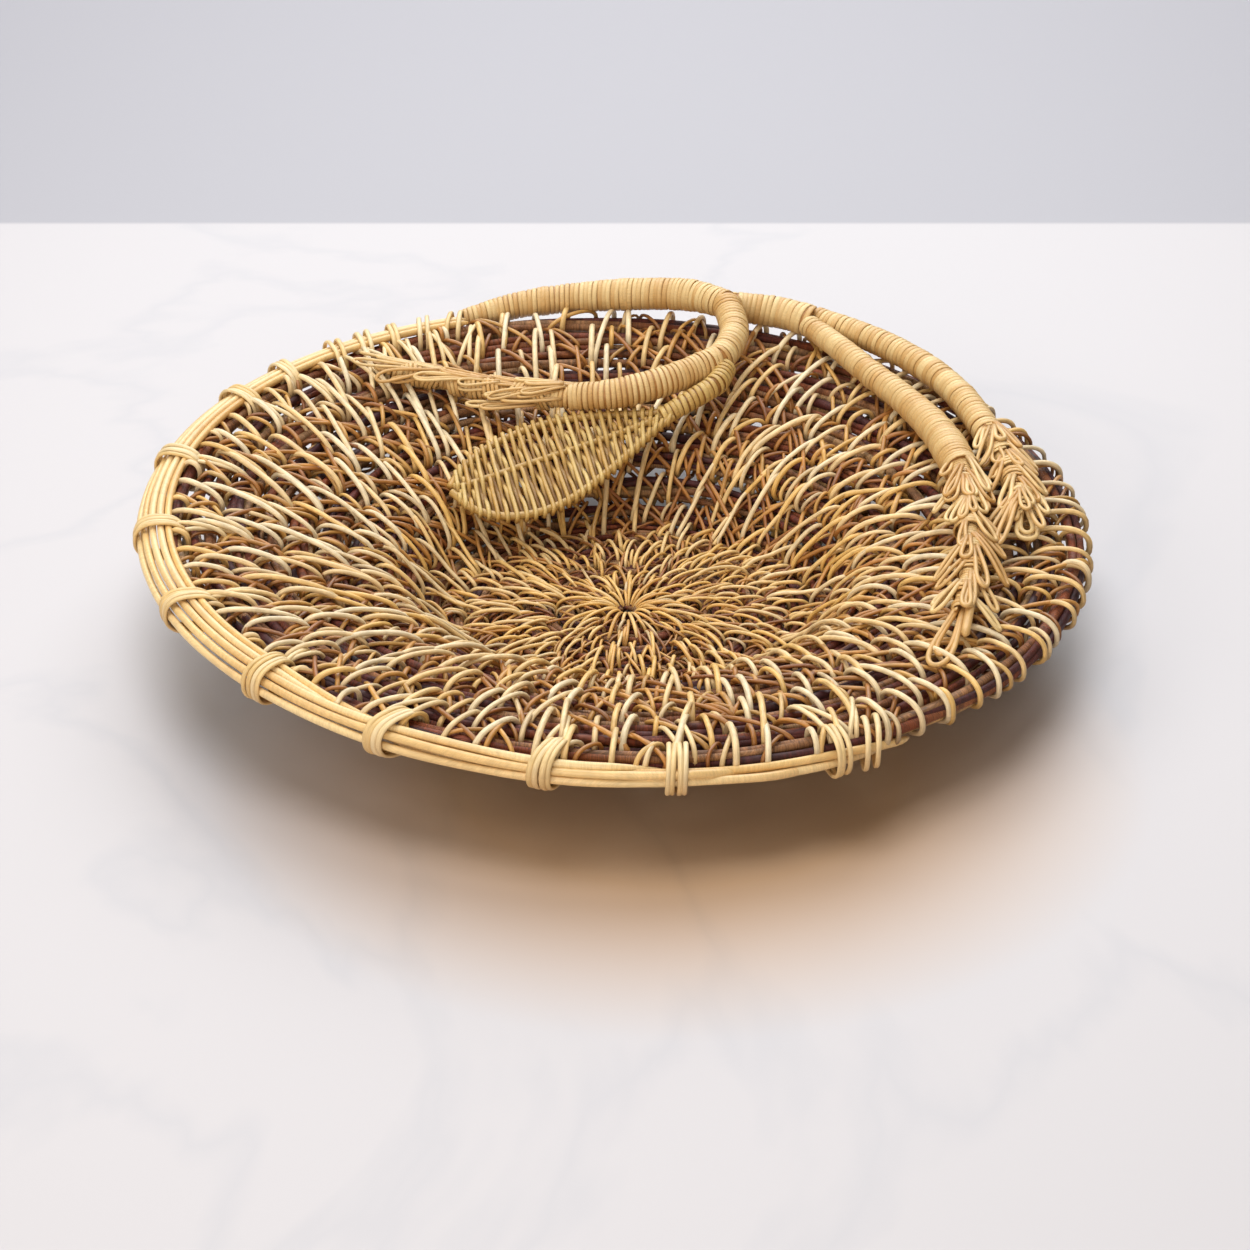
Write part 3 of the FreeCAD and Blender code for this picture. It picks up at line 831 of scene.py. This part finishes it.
def teardrop(strands, path, root, sideways, lift, turned, length, half_width, girth, source,
             droop=0.04, sink=0.0, bow=0.0):
    """A hairpin loop of round cane lying beside a stem, its bight towards the tip and outward."""
    phase = np.linspace(0, math.pi, 30)
    run = np.sin(phase) ** 0.8 * length
    across = half_width * np.cos(phase) * (0.22 + 0.95 * np.sin(phase) ** 1.3)
    distance = root + run * math.cos(turned) - across * math.sin(turned)
    beside = sideways + run * math.sin(turned) + across * math.cos(turned) - bow * (run / length) ** 2
    upward = lift - droop * (beside / MM) ** 2 * MM - sink * run + source.normal(0, 0.15 * MM)
    line = path.at(distance, beside, upward)
    _, _, up = path.directions(distance)
    # Painted shade: the loops are darker near their roots, where they go in beside the stem.
    age_and_shade = np.clip(0.5 - run / length, 0, 0.5) * 0.8
    width = girth * source.uniform(0.9, 1.08)
    strands.add(line, up, width * 0.88, width, source.uniform(0, 1), age_and_shade)


# An ear's last loops: share of the tip's length, and half width. And its stub, all in millimetres.
TIP_LOOPS = ((1, 7.4), (0.82, 4.4))
STUB_LENGTH = 20


def add_grains(strands, path, source, root, step, core, spread, long, girth):
    """The hairpin loops of one unit of an ear: one on each side, with lower and upper ones at random."""
    for side in (-1, 1):
        stagger = (0.25 * side + source.normal(0, 0.16)) * step
        turned = side * math.radians(source.uniform(7, 31)) * spread
        teardrop(strands, path, root + 2.0 * MM + stagger,
                 side * source.uniform(0.8, 2.6) * MM * spread,
                 core + source.uniform(0.9, 1.9) * MM, turned, source.uniform(16, 28) * MM * long,
                 source.uniform(2.5, 4.6) * MM * (1 + spread) / 2, girth, source, droop=0.045,
                 bow=side * source.uniform(-1.5, 3.5) * MM * spread)
        if source.uniform() < 0.7:
            turned = side * math.radians(source.uniform(26, 46)) * spread
            teardrop(strands, path, root + 4 * MM - stagger, side * 2.6 * MM * spread,
                     core - 1.2 * MM, turned, source.uniform(13, 20) * MM * long,
                     source.uniform(2.0, 3.4) * MM * (1 + spread) / 2, girth, source, droop=0.03,
                     bow=side * source.uniform(0, 4) * MM * spread)
        if source.uniform() < 0.3:
            turned = side * math.radians(source.uniform(-4, 14)) * spread
            teardrop(strands, path, root + source.normal(4, 2.0) * MM, side * 0.8 * MM,
                     core + 2.0 * MM, turned, source.uniform(13, 18) * MM * long,
                     source.uniform(2.2, 3.4) * MM * spread, girth, source)


def add_stub(strands, path):
    """A thick cut stem that runs on past the ear's last grain."""
    run = np.linspace(-6, STUB_LENGTH, 14) * MM
    line = path.at(path.length + run, np.full(14, -3.6 * MM), 2.4 * MM - 0.12 * run)
    thick = 3.7 * MM * np.clip((STUB_LENGTH * MM - run) / (1.2 * MM), 0.12, 1) ** 0.5
    strands.add(line, (0, 0, 1), thick, thick, 0.7, 0.1, 12)


def build_ear(name, points, material, key, units, radii, spread, tip, long, girth=1.9, extra=(),
              tip_turn=10, stub=False):
    """An ear of grain: wound core, bands, and hairpin loops that splay towards the tip."""
    source = random_numbers(5, key)
    path = Path(points)
    end = path.length
    strands = Strands()
    start_radius, end_radius = (radius * MM for radius in radii)
    shape = ((0, start_radius), (0.12, start_radius * 0.84), (1, end_radius))
    wind(strands, path, 0, end, shape, source, 2.0 * MM)
    step = end / units
    girth = girth * MM
    for number in range(units):
        root = number * step
        core = float(np.interp(root / end, *zip(*shape)))
        if number:
            band = core + 1.9 * MM
            middle = root + source.normal(4.0, 0.8) * MM
            wind(strands, path, middle - 4.2 * MM, middle + 3.6 * MM,
                 ((0, band * 0.84), (0.35, band), (0.8, band), (1, band * 0.9)), source, 1.75 * MM,
                 core=False, slant=source.choice([-1, 1]) * source.uniform(0.1, 0.5))
        add_grains(strands, path, source, root, step, core, spread, long, girth)
    for distance, sideways, lift, turned, length in extra:
        teardrop(strands, path, distance * MM, sideways * MM, lift * MM, math.radians(turned),
                 length * MM, 3.1 * MM, girth * 1.1, source, droop=0.01)
    wind(strands, path, end - 3 * MM, end + 4 * MM, ((0, end_radius + 1.6 * MM), (1, 2.9 * MM)),
         source, 1.9 * MM, core=False)
    for share, half_width in TIP_LOOPS:
        teardrop(strands, path, end - 1 * MM, 0.0, 1.2 * MM, math.radians(tip_turn),
                 tip * share * MM, half_width * MM * spread, girth * 1.2, source, droop=0.01,
                 sink=0.16)
    if stub:
        add_stub(strands, path)
    else:
        teardrop(strands, path, end - 5 * MM, 3.2 * MM * spread, 1.8 * MM, math.radians(7),
                 tip * 0.66 * MM, 1.7 * MM, girth * 1.2, source, droop=0.02)
    strands.build(name, material, "ear_cane", f"{name}_loops")


# Wound stems: name, kind of cane, random key, centre line, (share of the way, radius) pairs, pitch of
# the turns and the part of it that the cane fills. Lengths in millimetres.
WINDINGS = (
    ("handle", "wrap", 1, HANDLE, ((0, 5.2), (0.25, 6.2), (0.6, 7.4), (0.85, 7.3), (1, 6.4)), 2.2, 1.02),
    ("curl", "wrap", 2, CURL[:4] + (CURL_JOIN,), ((0, 6.8), (0.6, 6.3), (1, 6.6)), 2.3, 0.96),
    ("curl_end", "wrap", 7, (CURL_JOIN,) + CURL[4:], ((0, 6.5), (0.6, 6.8), (1, 6.0)), 2.35, 0.88),
    ("branch", "wrap", 3, BRANCH, ((0, 6.6), (0.5, 7.2), (1, 7.4)), 2.5, 1.02),
    ("front_stem", "wrap", 4, FRONT_STEM, ((0, 5.0), (0.5, 6.2), (0.85, 7.8), (1, 7.8)), 2.6, 1.02),
    ("back_stem", "wrap", 5, BACK_STEM, ((0, 5.6), (0.5, 6.3), (1, 6.4)), 2.5, 1.02),
    ("leaf_stem", "leaf", 6, LEAF_STEM, ((0, 5.2), (1, 4.0)), 2.5, 0.9),
)


def build_winding(name, kind, key, points, radius, pitch, fill, material):
    """A stem wound with flat cane from end to end, for its CAD sleeve and the core inside, if any."""
    path = Path(points)
    strands = Strands()
    radii = [(share, reach * MM) for share, reach in radius]
    wind(strands, path, 0, path.length, radii, random_numbers(6, key), pitch * MM, fill)
    nodes = [node for node in (f"{name}_wrap", f"{name}_core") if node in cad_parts]
    strands.build(f"{name}_winding", material, f"{kind}_cane", *nodes)


# -------- leaf

LEAF_TURNS = 30
LEAF_OVER = 2.6 * MM
LEAF_START = 0.004
LEAF_SHARE = 0.972
# One full turn of the cane: how far across from the far rod to the near one, outward, upward.
LEAF_ROUTE = ((0, -0.8, 0.7), (0.10, 0, 0.7), (0.32, 0, 0.55), (0.5, 0, 0.75), (0.68, 0, 0.55),
              (0.90, 0, 0.7), (1, 0.8, 0.7), (1, 1.05, 0), (1, 0.8, -0.7), (0.90, 0, -0.7),
              (0.68, 0, -0.4), (0.5, 0, -0.7), (0.32, 0, -0.4), (0.10, 0, -0.7), (0, -0.8, -0.7),
              (0, -1.05, 0))


def leaf_knots(source, far, rib, near):
    """The points that the leaf's long cane passes, and how high it is at each, from -1 to 1."""
    edges = [(line, distance_along(line) / distance_along(line)[-1]) for line in (far, near)]
    ahead = unit(rib[-1] - rib[0])
    knots = []
    lifts = []
    for turn in range(LEAF_TURNS):
        flip = 1 if turn % 2 else -1
        for step, (row, out, lift) in enumerate(LEAF_ROUTE):
            turned = (turn + step / len(LEAF_ROUTE)) / LEAF_TURNS
            share = LEAF_START + LEAF_SHARE * turned + source.normal(0, 0.0009)
            start, end = (at_distance(line, given, np.array(share)) for line, given in edges)
            outward = unit(end - start)
            upward = unit(np.cross(outward, ahead))
            upward = upward * np.sign(upward[2])
            # On one side of the rib the cane is over it where it is under on the other side.
            if row in (0.32, 0.68):
                lift = lift * flip * (1 if row < 0.5 else -1) * np.sign(lift)
            rise = 0.8 * MM * math.sin(math.pi * row)
            point = start + (end - start) * row
            knots.append(point + outward * out * LEAF_OVER + upward * (lift * LEAF_OVER + rise))
            lifts.append(lift)
    return np.array(knots), lifts


def build_leaf(material):
    """A woven leaf: one long cane goes over and under the rib between two bent edge rods."""
    source = random_numbers(7)
    far, rib, near = (millimetres(points, 0.5 * MM) for points in (LEAF_FAR, LEAF_RIB, LEAF_NEAR))
    rods = Strands()
    for line, girth in zip((far, rib, near), (3.6, 3.0, 3.6)):
        rods.add(line, (0, 0, 1), girth * MM, girth * MM, source.uniform(0, 1), 0.2)
    rods.build("leaf_rods", material, "leaf_cane", "leaf_far_rod", "leaf_near_rod", "leaf_rib")

    knots, lifts = leaf_knots(source, far, rib, near)
    line = smooth_line(knots, 1.15 * MM)
    rows = LEAF_TURNS * 2
    tint = np.interp(np.linspace(0, rows, len(line)), np.arange(rows + 1),
                     source.uniform(0, 1, rows + 1))
    knot_places = distance_along(knots)
    places = distance_along(line)
    lifted = np.interp(places / places[-1], knot_places / knot_places[-1], lifts)
    # Painted shade: the cane's passes under the rib are darker than those over it.
    age_and_shade = np.clip(0.25 - 0.9 * lifted, 0, 0.8)
    weave = Strands()
    weave.add(line, unit(rib[-1] - rib[0]), 2.05 * MM, 1.3 * MM, tint, age_and_shade, 6)
    weave.build("leaf_weave_cane", material, "leaf_cane", "leaf_weave")


# -------- build the object

def build_object():
    """Every piece of the basket."""
    material = make_materials()
    for index in range(len(COILS)):
        build_coil(index, material["vine"])
    for tier in range(len(TIERS)):
        build_tier(tier, material["stitch"])
    for node in sorted(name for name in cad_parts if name.startswith("rim_rod_")):
        build_rod(node, material["rim_rod"])
    build_bindings("rim_bindings", "binding_turns", 1, material["binding"])
    build_bindings("rim_lashing", "lashing_turns", 2, material["binding"], True)
    for name, kind, *winding in WINDINGS:
        build_winding(name, kind, *winding, material[kind])
    # Extra loops of an ear: distance along it, sideways, up, turned by degrees, length.
    build_ear("left_ear", LEFT_EAR, material["ear"], 1, units=8, radii=(5.2, 2.8), spread=0.6, tip=12,
              long=1.2, girth=1.6,
              extra=((3, -4.5, 1.5, -9, 27), (14, -6.0, -1.0, -16, 25), (22, -6.0, -2.0, -13, 24),
                     (-3, 1.0, 6.0, 5, 26)))
    build_ear("front_ear", FRONT_EAR, material["ear"], 2, units=7, radii=(6.2, 3.0), spread=1.05,
              tip=37, long=1.08, stub=True)
    build_ear("back_ear", BACK_EAR, material["ear"], 3, units=5, radii=(5.8, 3.4), spread=1.0, tip=20,
              long=1.0, tip_turn=2,
              extra=((63, 1.5, 4.0, 20, 40), (61, 3.5, 2.0, 31, 35), (59, -1.5, 3.0, -7, 30),
                     (50, -3.0, 2.0, -14, 26)))
    build_leaf(material["leaf"])


# -------- floor, light and camera

CAMERA_RISE = math.radians(29)
CAMERA_DISTANCE = 1.49
CAMERA_TARGET = Vector((-0.001, -0.015, 0.006))
LENS = 99.8
TABLE_BACK = 0.45
WARM_SHADE_MIDDLE = (0.02, -0.12, 0)


def build_floor():
    """A pale table with faint veins, painted warm shade under the dish for light coming through it, and
    the grey behind.
    """
    bpy.ops.mesh.primitive_plane_add(size=8)
    floor = bpy.context.object
    floor.name = "floor"
    material = bpy.data.materials.new("floor_white")
    material.use_nodes = True
    tree = material.node_tree
    shader = tree.nodes["Principled BSDF"]
    place = new_node(tree, "NewGeometry")
    split = new_node(tree, "SeparateXYZ")
    link(tree, place, "Position", split, "Vector")
    limits = (("From Min", TABLE_BACK - 0.002), ("From Max", TABLE_BACK + 0.002))
    edge = new_node(tree, "MapRange", limits)
    link(tree, split, "Y", edge, "Value")
    veins = new_node(tree, "TexNoise", (("Scale", 1.3), ("Detail", 6), ("Distortion", 1.2)))
    link(tree, place, "Position", veins, "Vector")
    white = colour(193, 191, 195)
    faint = ramp_node(tree, ((0.485, white), (0.5, colour(188, 187, 192)), (0.515, white)))
    link(tree, veins, "Fac", faint, "Fac")
    both = mix_node(tree, "MIX", 0)
    link(tree, edge, "Result", both, "Factor")
    link(tree, faint, "Color", both, "A")
    both.inputs["B"].default_value = colour(162, 162, 170)
    # Painted warm shade: the table's colour is warmed round a point under the dish, in its shadow.
    middle = new_node(tree, "VectorMath", ((1, WARM_SHADE_MIDDLE),))
    middle.operation = "DISTANCE"
    link(tree, place, "Position", middle, 0)
    painted_warm_shade = ramp_node(tree, ((0.09, colour(255, 216, 172)), (0.19, grey(1))))
    link(tree, middle, "Value", painted_warm_shade, "Fac")
    link(tree, multiplied(tree, both, painted_warm_shade), "Result", shader, "Base Color")
    shader.inputs["Roughness"].default_value = 0.42
    shader.inputs["Specular IOR Level"].default_value = 0.25
    floor.data.materials.append(material)


# Soft lights: name, place, what each faces, size, power, colour.
LIGHTS = (
    ("window", (0.05, 1.55, 1.5), (0, 0, 0), 2.4, 51, (0.96, 0.98, 1.0)),
    ("overhead", (-0.2, -0.2, 2.0), (0, 0, 0), 1.3, 23, (0.98, 0.99, 1.0)),
    ("left_fill", (-1.6, -0.7, 1.2), (0, 0, 0), 1.0, 11, (1.0, 0.94, 0.86)),
    ("front_fill", (-0.3, -1.9, 0.5), (0, 0, 0.03), 1.2, 16, (1.0, 0.9, 0.78)),
)
SKY = (1.0, 0.84, 0.66, 1)
SKY_STRENGTH = 0.22


def build_light():
    """A broad soft light from above and behind, weaker ones, and a pale sky."""
    for name, place, target, size, power, shade in LIGHTS:
        data = bpy.data.lights.new(name, "AREA")
        data.shape = "DISK"
        data.size = size
        data.energy = power
        data.color = shade
        light = bpy.data.objects.new(name, data)
        light.location = place
        light.rotation_euler = (Vector(target) - Vector(place)).to_track_quat("-Z", "Y").to_euler()
        bpy.context.scene.collection.objects.link(light)
    world = bpy.data.worlds.new("sky")
    world.use_nodes = True
    background = world.node_tree.nodes["Background"]
    background.inputs["Color"].default_value = SKY
    background.inputs["Strength"].default_value = SKY_STRENGTH
    bpy.context.scene.world = world


def build_camera():
    """The camera looks down at the dish from the front."""
    data = bpy.data.cameras.new("camera")
    data.lens = LENS
    camera = bpy.data.objects.new("camera", data)
    back = Vector((0, -math.cos(CAMERA_RISE), math.sin(CAMERA_RISE)))
    camera.location = CAMERA_TARGET + back * CAMERA_DISTANCE
    camera.rotation_euler = (math.pi / 2 - CAMERA_RISE, 0, 0)
    bpy.context.scene.collection.objects.link(camera)
    bpy.context.scene.camera = camera


build_object()
build_floor()
build_light()
build_camera()
bpy.context.scene.view_settings.view_transform = "Standard"
